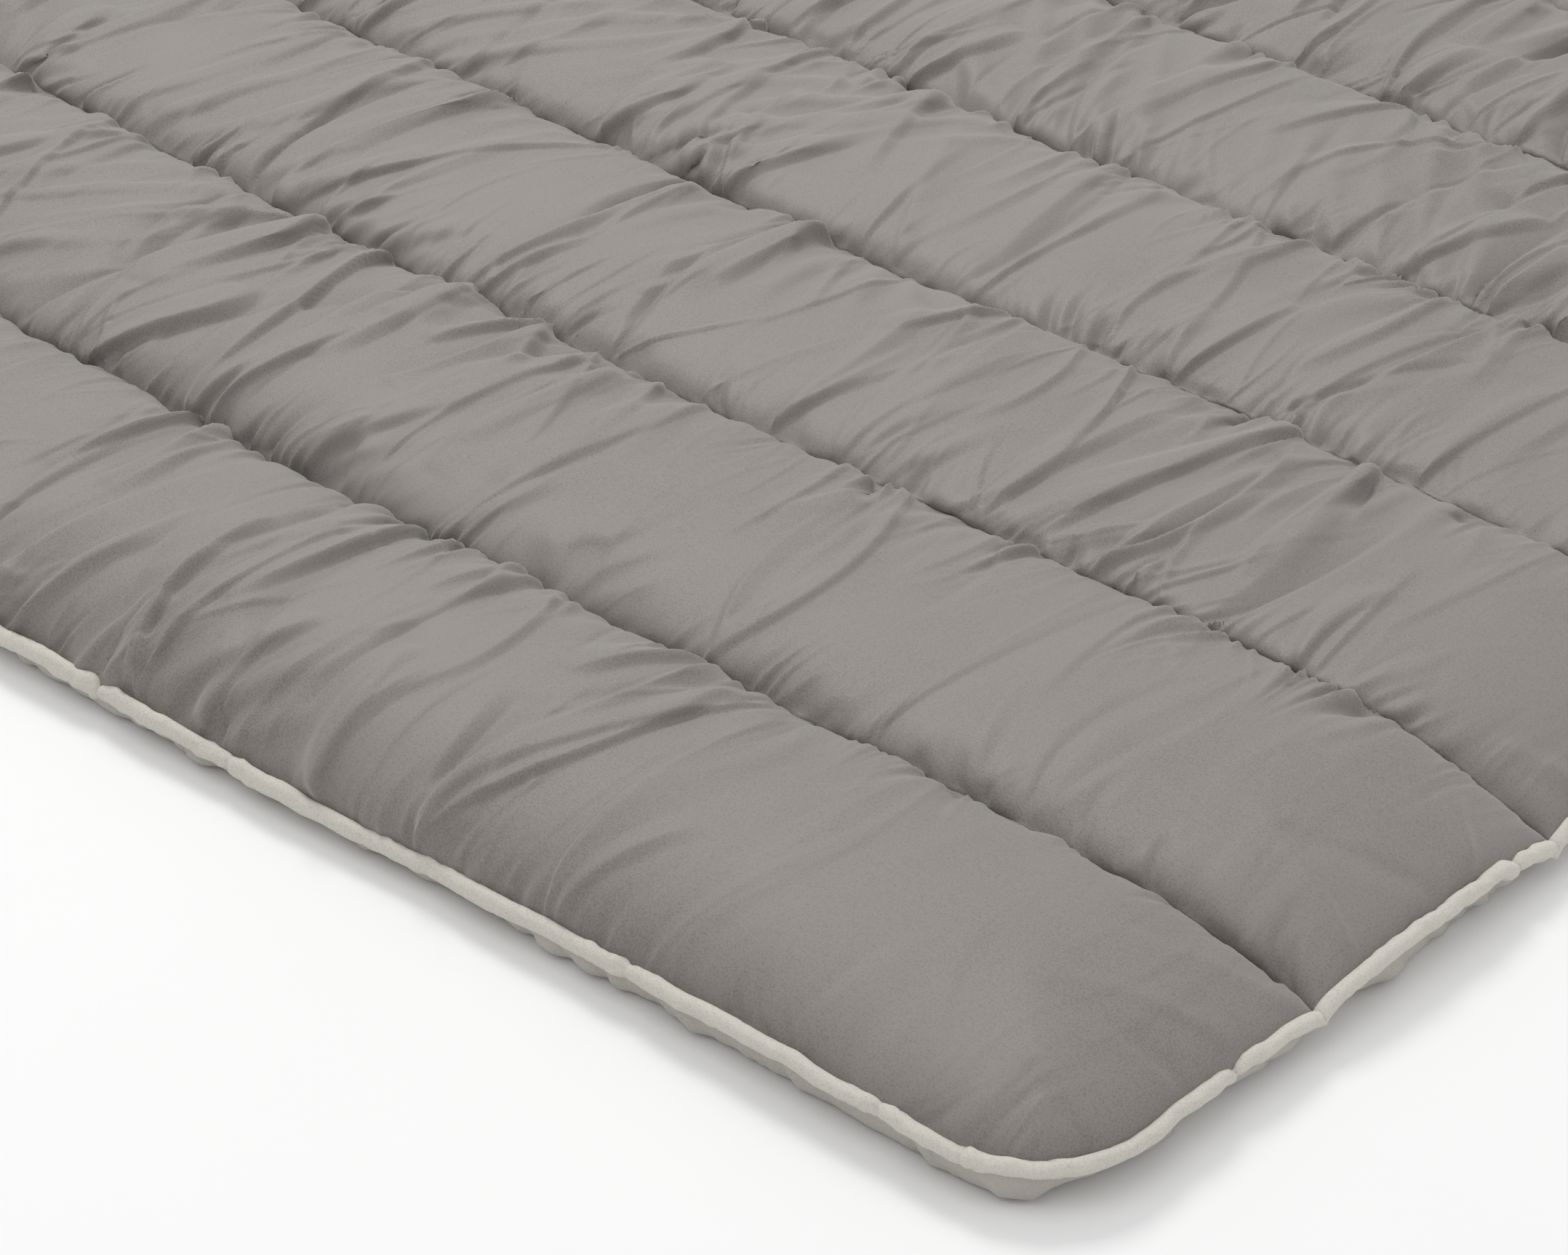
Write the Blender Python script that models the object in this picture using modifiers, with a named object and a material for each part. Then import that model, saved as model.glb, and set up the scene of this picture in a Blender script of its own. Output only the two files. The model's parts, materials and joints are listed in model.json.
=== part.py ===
"""Infrared sauna blanket, laid open with its grey side up.

The blanket is a channel-quilted pad. Its filled channels run along X and lie side by side
along Y, and the quilting seam in the middle is the line that the blanket folds over on.
Everything is in metres, +Z is up, and the origin is on the floor under the middle.
"""

import math

import bmesh
import bpy

# Driving dimensions
CHANNELS = 8
PITCH = 0.197  # from one quilting seam to the next
SIDE_ALLOWANCE = 0.012  # how much wider each outer channel is, where its edge is sewn into the piping
LENGTH = 1.800  # overall, along the channels
WIDTH = CHANNELS * PITCH + 2 * SIDE_ALLOWANCE
CORNER_RADIUS = 0.070
CROWN_Z = 0.062  # top of a filled channel
VALLEY_Z = 0.014  # top of the cover where a quilting seam pulls it down
END_EDGE_Z = 0.028  # middle of the piping where a channel ends, at the channel's middle
SIDE_EDGE_Z = 0.017  # middle of the piping along the two long sides
END_ROUNDING = 0.070  # how far in from the edge a channel reaches its full height
DOME_POWER = 2.3  # 2 is an ellipse, and more is squarer
SEAM_FLAT = 0.003  # half width of the strip that a quilting seam holds flat
END_STEPS = (0, 0.005, 0.016, 0.036, 0.075)  # lines of a surface, in from its end

COVER = 0.0012
PIPING_RADIUS = 0.0045
PIPING_WALL = 0.0008
PIPING_CORD_RADIUS = 0.0034
GAP = 0.0003  # left between pieces that touch
EDGE_INSET = 2 * PIPING_RADIUS + 3 * GAP  # from the piping's outer side to the edge of both covers

BACKING_RIM = 0.038  # how far in from the edge the backing starts to turn up
RIM_STEPS = (0.038, 0.028, 0.020, 0.014)  # inset of the backing's lines across that turn
FOIL_Z, FOIL = 0.0016, 0.0005
FELT_Z, FELT = 0.0026, 0.0020
LAYER_INSET = 0.052  # from the blanket's edge to the foil and the felt
ELEMENT_RADIUS = 0.0012
ELEMENT_SPREAD = 0.100  # between the two legs of one heating element
ELEMENT_INSET = 0.075
RIBBON = (0.008, 0.0024)  # width and thickness
RIBBON_OVERRUN = 0.010  # how far the supply ribbon runs on past the last element
SENSOR = (0.014, 0.006, 0.003)
SENSOR_LEAD_RADIUS = 0.0008
SENSOR_LEAD_RISE = 0.0013  # from the felt to the middle of the lead
CUTOUT = (0.013, 0.008, 0.0034)
CUTOUT_OFFSET = 0.020  # from the sensor's lead to the cut-out
RIBBON_INSET = 0.058  # from the blanket's end to the middle of the ribbon
PAD_Z = 0.0085
PAD_CLEARANCE = 0.0035
PAD_INSET = 0.031
THREAD_RADIUS = 0.0006
THREAD_INSET = 0.012  # from the blanket's end to the end of a row of stitching
THREAD_SHIFT = 0.002  # keeps the middle row of stitching on the front half

INLET = (0.030, 0.044, 0.0145)
INLET_X = -LENGTH / 2 + 0.0015
INLET_Y = -2.5 * PITCH  # middle of the second channel from the front
INLET_Z = 0.0045
SOCKET = (0.016, 0.030, 0.0100)
PIN_RADIUS = 0.0011
PIN_LENGTH = 0.011
PIN_SPACING = 0.009
PIN_RISE = 0.003  # from the socket's floor to the middle of a pin
INLET_ROOM = 0.0006  # left round the inlet
INLET_MARGIN = 0.010  # how far a cutter sticks out past the blanket's end

HALVES = {"front": -1, "back": 1}


# The blanket's shape, as functions of place

def depth_inside(x, y):
    """How far a point is inside the rounded outline."""
    past_x = abs(x) - (LENGTH / 2 - CORNER_RADIUS)
    past_y = abs(y) - (WIDTH / 2 - CORNER_RADIUS)
    corner = math.hypot(max(past_x, 0), max(past_y, 0))
    return CORNER_RADIUS - corner - min(max(past_x, past_y), 0)


def dome(y):
    """0 at a quilting seam and 1 at the middle of a channel; the outer half of an end channel stays 1."""
    if abs(y) > (CHANNELS - 1) / 2 * PITCH:
        return 1.0
    from_middle = abs((y / PITCH) % 1 - 0.5) * PITCH
    across = min(from_middle / (PITCH / 2 - SEAM_FLAT), 1.0)
    return (1 - across ** DOME_POWER) ** (1 / DOME_POWER)


def rounding(depth):
    """0 at the edge, rising in a quarter ellipse to 1."""
    left = 1 - min(max(depth / END_ROUNDING, 0), 1)
    return math.sqrt(1 - left * left)


def edge_rise(y):
    """How far a channel holds the piping above the valleys: the two outer channels let it lie low."""
    outer = abs(y) > (CHANNELS / 2 - 1) * PITCH
    return (SIDE_EDGE_Z if outer else END_EDGE_Z) - VALLEY_Z


def edge_z(y):
    """Height of the piping's middle: it dips where a quilting seam runs out."""
    return VALLEY_Z + edge_rise(y) * dome(y)


def top_z(x, y):
    """Outer surface of the top cover."""
    lift = (CROWN_Z - VALLEY_Z - edge_rise(y)) * rounding(depth_inside(x, y) - EDGE_INSET)
    return VALLEY_Z + (edge_rise(y) + lift) * dome(y)


def backing_z(x, y):
    """Upper surface of the backing: flat on the floor, turned up at the edge to meet the top cover."""
    turned = 1 - (depth_inside(x, y) - EDGE_INSET) / (BACKING_RIM - EDGE_INSET)
    rim = edge_z(y) - COVER - 2 * GAP
    return COVER + (rim - COVER) * min(max(turned, 0), 1) ** 2


def round_corner(x, y, inset):
    """Moves a point of the inset rectangle onto the inset outline, whose corners are round."""
    radius = CORNER_RADIUS - inset
    past_x = abs(x) - (LENGTH / 2 - CORNER_RADIUS)
    past_y = abs(y) - (WIDTH / 2 - CORNER_RADIUS)
    if min(past_x, past_y) <= 0 or radius <= 0:
        return x, y
    shrink = max(past_x, past_y) / math.hypot(past_x, past_y)
    near_x = LENGTH / 2 - CORNER_RADIUS + past_x * shrink
    near_y = WIDTH / 2 - CORNER_RADIUS + past_y * shrink
    return math.copysign(near_x, x), math.copysign(near_y, y)


# Sample lines

def channel_middle(number):
    """Y of the middle of a channel, numbered from 1 at the front."""
    return (number - 0.5 - CHANNELS / 2) * PITCH


def cosine_steps(low, high, count):
    """Values from low to high that crowd towards both ends."""
    turns = [math.pi * i / count for i in range(count + 1)]
    return [low + (high - low) * (1 - math.cos(turn)) / 2 for turn in turns]


def end_steps(inset):
    """Places along X that crowd towards the two ends of the blanket."""
    left = [step + inset - LENGTH / 2 for step in END_STEPS]
    return left + [0.0] + [-x for x in reversed(left)]


def half_steps(side, inset, count):
    """Places along Y over one half of the blanket, crowding towards every seam."""
    steps = []
    for number in range(CHANNELS // 2):
        outermost = number == CHANNELS // 2 - 1
        high = WIDTH / 2 - inset if outermost else (number + 1) * PITCH - SEAM_FLAT
        steps += [max(number * PITCH, GAP)]
        steps += cosine_steps(number * PITCH + SEAM_FLAT, high, count)
    return sorted(side * step for step in steps)


# Making objects

def clear_scene():
    for obj in list(bpy.data.objects):
        bpy.data.objects.remove(obj, do_unlink=True)


def new_collection(name):
    collection = bpy.data.collections.new(name)
    bpy.context.scene.collection.children.link(collection)
    return collection


def material(name, colour, roughness, metallic=0.0):
    made = bpy.data.materials.new(name)
    made.use_nodes = True
    shader = made.node_tree.nodes["Principled BSDF"]
    shader.inputs["Base Color"].default_value = (*colour, 1)
    shader.inputs["Roughness"].default_value = roughness
    shader.inputs["Metallic"].default_value = metallic
    return made


def add_object(name, data, collection, finish):
    obj = bpy.data.objects.new(name, data)
    data.materials.append(finish)
    collection.objects.link(obj)
    return obj


def surface_mesh(name, xs, ys, inset, height):
    """A grid over the given lines, with its corners rounded and lifted to height(x, y)."""
    mesh = bpy.data.meshes.new(name)
    bm = bmesh.new()
    bmesh.ops.create_grid(bm, x_segments=len(xs) - 1, y_segments=len(ys) - 1, size=0.5)
    for vert in bm.verts:
        column = round((vert.co.x + 0.5) * (len(xs) - 1))
        row = round((vert.co.y + 0.5) * (len(ys) - 1))
        x, y = round_corner(xs[column], ys[row], inset)
        vert.co = (x, y, height(x, y))
    bm.to_mesh(mesh)
    bm.free()
    return mesh


def fill_down(mesh, floor):
    """Closes a surface into a solid with a flat underside at height floor."""
    bm = bmesh.new()
    bm.from_mesh(mesh)
    bottom = bmesh.ops.extrude_face_region(bm, geom=bm.faces[:])
    for item in bottom["geom"]:
        if isinstance(item, bmesh.types.BMVert):
            item.co.z = floor
    bmesh.ops.recalc_face_normals(bm, faces=bm.faces[:])
    bm.to_mesh(mesh)
    bm.free()


def add_thickness(obj, thickness):
    """Thickens a surface downwards."""
    solid = obj.modifiers.new("Thickness", "SOLIDIFY")
    solid.thickness = thickness
    solid.offset = -1


def box_mesh(name, low, high, rounding_width=0.0):
    """A box between two corners, with its edges rounded."""
    mesh = bpy.data.meshes.new(name)
    bm = bmesh.new()
    bmesh.ops.create_cube(bm, size=1)
    for vert in bm.verts:
        for axis in range(3):
            share = vert.co[axis] + 0.5
            vert.co[axis] = low[axis] + (high[axis] - low[axis]) * share
    if rounding_width:
        bmesh.ops.bevel(
            bm, geom=bm.edges[:], offset=rounding_width, segments=2, profile=0.5, affect="EDGES"
        )
    bm.to_mesh(mesh)
    bm.free()
    return mesh


def tube(name, points, radius, collection, finish, caps=True):
    """A tube along a run of points."""
    curve = bpy.data.curves.new(name, "CURVE")
    curve.dimensions = "3D"
    curve.bevel_depth = radius
    curve.bevel_resolution = 2
    curve.use_fill_caps = caps
    spline = curve.splines.new("POLY")
    spline.points.add(len(points) - 1)
    for point, place in zip(spline.points, points):
        point.co = (*place, 1)
    return add_object(name, curve, collection, finish)


def add_cut(obj, cutter):
    cut = obj.modifiers.new("Cut", "BOOLEAN")
    cut.operation = "DIFFERENCE"
    cut.solver = "EXACT"
    cut.object = cutter


def add_cutter(name, low, high, collection, finish):
    cutter = add_object(name, box_mesh(name, low, high), collection, finish)
    cutter.hide_render = True
    cutter.display_type = "WIRE"
    return cutter


# Routes

def piping_route(side):
    """Middle of the piping along one half: in from the fold at one end, round two corners and back."""
    end = LENGTH / 2 - PIPING_RADIUS
    edge = WIDTH / 2 - PIPING_RADIUS
    radius = CORNER_RADIUS - PIPING_RADIUS
    short_edge = half_steps(1, CORNER_RADIUS, 4)
    corner = []
    for step in range(1, 5):
        turn = math.pi / 2 * step / 5
        corner.append((end - radius * (1 - math.cos(turn)), edge - radius * (1 - math.sin(turn))))
    quarter = [(end, y) for y in short_edge] + corner + [(end - radius, edge)]
    outline = [(-x, y) for x, y in quarter] + [(0.0, edge)] + list(reversed(quarter))
    level = [(-end, side * y, VALLEY_Z) for y in (GAP, PIPING_RADIUS)]
    raised = [(x, side * y, edge_z(y)) for x, y in outline if y > 2 * PIPING_RADIUS]
    return level + raised + [(end, y, z) for _, y, z in reversed(level)]


def element_route(number):
    """Hairpin of one heating element: both legs start at the supply ribbon."""
    middle = channel_middle(number)
    start = -LENGTH / 2 + RIBBON_INSET + RIBBON[0] / 2 + GAP
    end = LENGTH / 2 - ELEMENT_INSET
    radius = ELEMENT_SPREAD / 2
    z = FELT_Z + FELT + GAP + ELEMENT_RADIUS
    bend = []
    for step in range(11):
        turn = math.pi * (step / 10 - 0.5)
        bend.append((end - radius * (1 - math.cos(turn)), middle + radius * math.sin(turn), z))
    return [(start, middle - radius, z)] + bend + [(start, middle + radius, z)]


# Sub-parts

def make_top_cover(half, side, collection, finish):
    name = f"top_cover_{half}"
    ys = half_steps(side, EDGE_INSET, 8)
    surface = surface_mesh(name, end_steps(EDGE_INSET), ys, EDGE_INSET, top_z)
    cover = add_object(name, surface, collection, finish)
    add_thickness(cover, COVER)


def make_backing(half, side, collection, finish, cutter):
    name = f"backing_{half}"
    ys = set(half_steps(side, EDGE_INSET, 4)) | {side * (WIDTH / 2 - inset) for inset in RIM_STEPS}
    surface = surface_mesh(name, end_steps(EDGE_INSET), sorted(ys), EDGE_INSET, backing_z)
    backing = add_object(name, surface, collection, finish)
    add_thickness(backing, COVER)
    if cutter:
        add_cut(backing, cutter)


def make_pad(number, collection, finish, cutter):
    """Batting of one channel, clear of the cover all round."""
    name = f"batting_pad_{number}"
    middle = channel_middle(number)
    reach = PITCH / 2 - SEAM_FLAT - PAD_CLEARANCE
    low, high = middle - reach, middle + reach
    if number == 1:
        low = -WIDTH / 2 + PAD_INSET
    if number == CHANNELS:
        high = WIDTH / 2 - PAD_INSET

    shifts = (-PAD_CLEARANCE, 0, PAD_CLEARANCE)

    def pad_top(x, y):
        lowest = min(top_z(x + shift_x, y + shift_y) for shift_x in shifts for shift_y in shifts)
        return max(lowest - PAD_CLEARANCE, PAD_Z + GAP)

    mesh = surface_mesh(name, end_steps(PAD_INSET), cosine_steps(low, high, 6), PAD_INSET, pad_top)
    fill_down(mesh, PAD_Z)
    pad = add_object(name, mesh, collection, finish)
    if cutter:
        add_cut(pad, cutter)


def make_layer(name, side, z, thickness, collection, finish):
    """A flat sheet over one half of the blanket, between the backing and the batting."""
    low_y, high_y = sorted((side * GAP, side * (WIDTH / 2 - LAYER_INSET)))
    end = LENGTH / 2 - LAYER_INSET
    layer = box_mesh(name, (-end, low_y, z), (end, high_y, z + thickness))
    add_object(name, layer, collection, finish)


def make_piping(half, side, collection, cover_finish, cord_finish):
    """A fabric tube with a cord inside it."""
    route = piping_route(side)
    tube(f"piping_cord_{half}", route, PIPING_CORD_RADIUS, collection, cord_finish)
    cover = tube(f"piping_{half}", route, PIPING_RADIUS, collection, cover_finish, caps=False)
    add_thickness(cover, PIPING_WALL)


def make_supply(half, side, collection, finish):
    """Ribbon lead that feeds the heating elements of one half."""
    name = f"supply_ribbon_{half}"
    middle = RIBBON_INSET - LENGTH / 2
    reach = channel_middle(CHANNELS) + ELEMENT_SPREAD / 2 + RIBBON_OVERRUN
    low_y, high_y = sorted((side * GAP, side * reach))
    bottom = FELT_Z + FELT + GAP
    low = (middle - RIBBON[0] / 2, low_y, bottom)
    high = (middle + RIBBON[0] / 2, high_y, bottom + RIBBON[1])
    add_object(name, box_mesh(name, low, high), collection, finish)


def make_sensing(half, side, collection, finishes):
    """Temperature sensor at the middle of the blanket, its lead, and the thermal cut-out by the ribbon."""
    bottom = FELT_Z + FELT + GAP
    y = side * 1.5 * PITCH
    low = (0, y - SENSOR[1] / 2, bottom)
    high = (SENSOR[0], y + SENSOR[1] / 2, bottom + SENSOR[2])
    sensor = box_mesh(f"temperature_sensor_{half}", low, high, 0.001)
    add_object(f"temperature_sensor_{half}", sensor, collection, finishes["sensor"])
    ribbon_side = RIBBON_INSET - LENGTH / 2 + RIBBON[0] / 2 + GAP
    z = bottom + SENSOR_LEAD_RISE
    route = [(ribbon_side, y, z), (-GAP, y, z)]
    tube(f"sensor_lead_{half}", route, SENSOR_LEAD_RADIUS, collection, finishes["lead"])
    y += side * CUTOUT_OFFSET
    low = (ribbon_side, y - CUTOUT[1] / 2, bottom)
    high = (ribbon_side + CUTOUT[0], y + CUTOUT[1] / 2, bottom + CUTOUT[2])
    cutout = box_mesh(f"thermal_cutout_{half}", low, high, 0.0008)
    add_object(f"thermal_cutout_{half}", cutout, collection, finishes["cutout"])


def make_seam_threads(collection, finish):
    """One row of stitching in each valley. The middle row lies just on the front half's side."""
    end = LENGTH / 2 - THREAD_INSET
    z = VALLEY_Z + GAP + THREAD_RADIUS
    for number in range(1, CHANNELS):
        y = (number - CHANNELS / 2) * PITCH
        if number == CHANNELS // 2:
            y -= THREAD_SHIFT
        tube(f"seam_thread_{number}", [(-end, y, z), (end, y, z)], THREAD_RADIUS, collection, finish)


def make_inlet(collection, cutters, finishes):
    """Appliance inlet let into the backing at one end, with three contact pins in its socket."""
    low = (INLET_X, INLET_Y - INLET[1] / 2, INLET_Z)
    high = (INLET_X + INLET[0], INLET_Y + INLET[1] / 2, INLET_Z + INLET[2])
    block = box_mesh("inlet_housing", low, high, 0.0015)
    housing = add_object("inlet_housing", block, collection, finishes["inlet"])
    middle_z = INLET_Z + INLET[2] / 2
    socket_low = (INLET_X - INLET_MARGIN, INLET_Y - SOCKET[1] / 2, middle_z - SOCKET[2] / 2)
    socket_high = (INLET_X + SOCKET[0], INLET_Y + SOCKET[1] / 2, middle_z + SOCKET[2] / 2)
    add_cut(housing, add_cutter("socket_cutter", socket_low, socket_high, cutters, finishes["inlet"]))
    pin_z = socket_low[2] + PIN_RISE
    back = INLET_X + SOCKET[0] - GAP
    for number in range(3):
        y = INLET_Y + (number - 1) * PIN_SPACING
        places = [(back - PIN_LENGTH, y, pin_z), (back, y, pin_z)]
        tube(f"inlet_pin_{number + 1}", places, PIN_RADIUS, collection, finishes["pin"])
    bottom = FELT_Z + FELT + GAP
    tail_end = RIBBON_INSET - LENGTH / 2 - RIBBON[0] / 2 - GAP
    tail_low = (high[0] + GAP, INLET_Y - RIBBON[0] / 2, bottom)
    tail_high = (tail_end, INLET_Y + RIBBON[0] / 2, bottom + RIBBON[1])
    tail = box_mesh("inlet_ribbon", tail_low, tail_high)
    add_object("inlet_ribbon", tail, collection, finishes["lead"])


def inlet_cutter(cutters, finish):
    """Room for the inlet in the backing and the batting round it."""
    half_width = INLET[1] / 2 + INLET_ROOM
    low = (INLET_X - INLET_MARGIN, INLET_Y - half_width, INLET_Z - INLET_ROOM)
    high = (INLET_X + INLET[0] + INLET_ROOM, INLET_Y + half_width, INLET_Z + INLET[2] + INLET_ROOM)
    return add_cutter("inlet_cutter", low, high, cutters, finish)


def main():
    clear_scene()
    parts = new_collection("infrared_sauna_blanket")
    cutters = new_collection("cutters")
    finishes = {
        "cover": material("cover_fabric", (0.30, 0.28, 0.26), 0.75),
        "backing": material("backing_fabric", (0.62, 0.60, 0.54), 0.85),
        "piping": material("piping_fabric", (0.66, 0.64, 0.58), 0.8),
        "cord": material("piping_cord", (0.75, 0.73, 0.68), 0.9),
        "batting": material("batting", (0.85, 0.85, 0.83), 0.95),
        "felt": material("heater_felt", (0.45, 0.45, 0.44), 0.95),
        "foil": material("reflective_foil", (0.80, 0.80, 0.82), 0.3, 1.0),
        "element": material("heating_element", (0.03, 0.03, 0.03), 0.6),
        "lead": material("lead_insulation", (0.70, 0.70, 0.68), 0.6),
        "thread": material("thread", (0.24, 0.22, 0.20), 0.8),
        "sensor": material("sensor", (0.02, 0.02, 0.02), 0.5),
        "cutout": material("cutout_can", (0.75, 0.75, 0.76), 0.35, 1.0),
        "inlet": material("inlet_plastic", (0.04, 0.04, 0.045), 0.5),
        "pin": material("inlet_pin", (0.80, 0.62, 0.30), 0.3, 1.0),
    }
    cutter = inlet_cutter(cutters, finishes["inlet"])
    inlet_channel = 1 + int(INLET_Y / PITCH + CHANNELS / 2)
    for half, side in HALVES.items():
        make_top_cover(half, side, parts, finishes["cover"])
        inlet_here = cutter if side * INLET_Y > 0 else None
        make_backing(half, side, parts, finishes["backing"], inlet_here)
        make_layer(f"reflective_foil_{half}", side, FOIL_Z, FOIL, parts, finishes["foil"])
        make_layer(f"heater_felt_{half}", side, FELT_Z, FELT, parts, finishes["felt"])
        make_piping(half, side, parts, finishes["piping"], finishes["cord"])
        make_supply(half, side, parts, finishes["lead"])
        make_sensing(half, side, parts, finishes)
    for number in range(1, CHANNELS + 1):
        make_pad(number, parts, finishes["batting"], cutter if number == inlet_channel else None)
        route = element_route(number)
        tube(f"heating_element_{number}", route, ELEMENT_RADIUS, parts, finishes["element"])
    make_seam_threads(parts, finishes["thread"])
    make_inlet(parts, cutters, finishes)


main()
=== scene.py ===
"""Looks of the infrared sauna blanket: its wrinkled quilted cover, backing, piping and stitches.

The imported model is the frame. Every filled channel is covered in cloth that is solved here with
more cloth than the channel needs, so that it wrinkles between its two quilting seams.
X runs along the channels, Y across them from front to back, and Z up. Everything is in metres.
"""

import json
import math
from collections import namedtuple
from concurrent.futures import ThreadPoolExecutor

import bmesh
import bpy
import numpy as np
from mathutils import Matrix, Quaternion, Vector


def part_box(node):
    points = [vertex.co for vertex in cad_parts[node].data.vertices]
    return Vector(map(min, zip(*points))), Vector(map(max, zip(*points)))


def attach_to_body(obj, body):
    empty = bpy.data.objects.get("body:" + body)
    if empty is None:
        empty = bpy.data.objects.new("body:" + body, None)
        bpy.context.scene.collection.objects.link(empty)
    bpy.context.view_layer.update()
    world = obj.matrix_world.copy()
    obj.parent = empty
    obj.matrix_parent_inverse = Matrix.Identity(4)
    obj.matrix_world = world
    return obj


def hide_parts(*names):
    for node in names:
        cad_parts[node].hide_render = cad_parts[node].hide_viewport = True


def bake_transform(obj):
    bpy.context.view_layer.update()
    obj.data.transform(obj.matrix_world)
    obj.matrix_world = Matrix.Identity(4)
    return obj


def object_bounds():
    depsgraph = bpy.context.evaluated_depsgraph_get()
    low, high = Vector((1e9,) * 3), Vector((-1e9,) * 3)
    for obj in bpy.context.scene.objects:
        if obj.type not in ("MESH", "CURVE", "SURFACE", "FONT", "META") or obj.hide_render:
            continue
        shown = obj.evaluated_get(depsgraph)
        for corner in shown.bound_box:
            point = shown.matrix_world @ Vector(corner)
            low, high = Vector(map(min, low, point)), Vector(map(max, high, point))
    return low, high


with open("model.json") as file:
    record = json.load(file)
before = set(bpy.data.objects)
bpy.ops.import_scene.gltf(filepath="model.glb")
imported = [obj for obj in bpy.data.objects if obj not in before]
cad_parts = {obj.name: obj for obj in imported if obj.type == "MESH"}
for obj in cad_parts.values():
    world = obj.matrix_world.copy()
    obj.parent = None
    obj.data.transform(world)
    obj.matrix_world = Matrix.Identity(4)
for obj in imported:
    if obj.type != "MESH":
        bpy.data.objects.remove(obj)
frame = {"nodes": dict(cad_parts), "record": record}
cad_low, cad_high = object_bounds()

# Sizes that follow from the frame
CHANNELS = sum(name.startswith("batting_pad_") for name in frame["nodes"])
LENGTH = cad_high.x - cad_low.x
WIDTH = cad_high.y - cad_low.y
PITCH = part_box("seam_thread_2")[0].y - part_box("seam_thread_1")[0].y
HALF_LENGTH = LENGTH / 2
HALF_WIDTH = WIDTH / 2
OUTERMOST_SEAM = (CHANNELS / 2 - 1) * PITCH  # distance of the outermost seams from the middle
MIDDLE_PLACE = (CHANNELS + 1) / 2  # of the fold; channels are at whole places and seams halfway between
CROWN_Z = cad_high.z - 0.005  # lower than the CAD's crown, to leave room for the folds
VALLEY_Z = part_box("seam_thread_1")[0].z
INLET_LOW, INLET_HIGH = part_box("inlet_housing")
FOLD = frame["record"]["behaviour"]["joints"][0]
FOLD_Z = FOLD["pos_m"][2]
FOLD_OPENING = math.radians(180 - FOLD["range_deg"][1])  # angle left between the halves when folded

# Shape of the blanket
CORNER_RADIUS = 0.070
PIPING_RADIUS = 0.0045
PIPING_HEIGHTS = (0.95, 1.25)  # height of the piping over its width: round the ends, and along the sides
PIPING_HEIGHT_REACH = (0.05, 0.5)  # distance from the ends over which the one turns into the other
PIPING_STEP = 0.0016  # between its rings of points
PIPING_SIDES = 20  # points in each ring
KINK_GAPS = (0.04, 0.17)  # between the places where folds of the cover pull on the piping
END_EDGE_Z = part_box("piping_front")[1].z - PIPING_RADIUS  # middle of the piping at a channel's end
CORNER_EDGE_Z = 0.0245  # middle of the piping round the corners
SIDE_EDGE_Z = 0.0160  # middle of the piping along most of the two long sides
SIDE_REACH = (0.02, 0.55)  # distance from the ends over which it comes down to that
SIDE_ROUNDING = 0.090  # how far in from a long side a channel reaches its full height
END_ROUNDING = 0.120  # and how far in from an end
ROUNDING_CHANGE = (0.25, 0.10)  # distance from the ends over which the one turns into the other
DOME_POWER = 2.3  # 2 is an ellipse over the width of a channel, and more is squarer
SEAM_LIFT = 0.014  # how much higher the outermost seams run than where they meet the ends
INNER_LIFT = 0.009  # how much higher still the other seams run
END_LIFT = 0.009  # and how much more near the ends, where the channels are fuller
END_LIFT_REACH = (0.75, 0.25)  # distance from the ends over which they rise by that
BOW = 0.022  # how far the long sides bow outwards
BOW_REACH = (0.15, 0.85)  # distance from the ends over which they do
BOW_START = 0.1  # distance from the middle seam where the channels begin to bow with them
COVER_INSET = 0.0065  # from the outline to where the cover goes into the piping
SEAM_DESCENT = (COVER_INSET - 0.03, 0.12)  # distance from the ends over which the seams come down to there
PAD_FLOOR = 0.0085  # underside of a filled channel
PAD_INSET = 0.014  # how much smaller that underside is, at the edges of the blanket
PAD_COLUMNS = (0.02, 0.2, 0.4, 0.6, 0.8, 0.98)  # places of its points, over the channel's width
BACKING_THICKNESS = 0.0006
SEAM_GROOVE = 0.0008  # how far the seams pull the backing up
RIM_OUT = 0.0048  # inset of the backing where it meets the piping
RIM_TURNS = (0.030, 0.012)  # width over which it curves up from the floor: at the ends, at the sides
RIM_FOLD = 0.0026  # depth of the small folds in that curve
BACKING_POINTS = (460, 420)  # along the flat part of the backing and across it
RIM_POINTS = 15  # over the width of the curve
INLET_ROOM = 0.0006  # round the inlet, in the backing
STITCH_PITCH = 0.0043
STITCH_LENGTH = 0.0036
STITCH_HALF = (0.0003, 0.0002)  # half the width and half the height of a stitch
# Rings of a stitch: place over half its length, and thickness over its full one
STITCH_RINGS = ((-1, 0.25), (-0.8, 0.9), (0, 1), (0.8, 0.9), (1, 0.25))
STITCH_RISE = 0.0003  # middle of a stitch above the cloth at the seam
STITCH_START = 0.012  # distance from the ends to the first stitch

# How wrinkled the cover is; the pairs are for the front and for the back of the blanket
SMOOTHEST = 0.12  # at the right end
WRINKLED = (0.64, 1.30)  # far from that end
WRINKLES_START = (0.16, 0.08)  # distance from that end where the wrinkles begin to grow
WRINKLES_FULL = (0.50, 0.28)  # and where they have grown
BACK_REACH = 0.7  # distance from the front edge where the back's numbers hold

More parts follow.
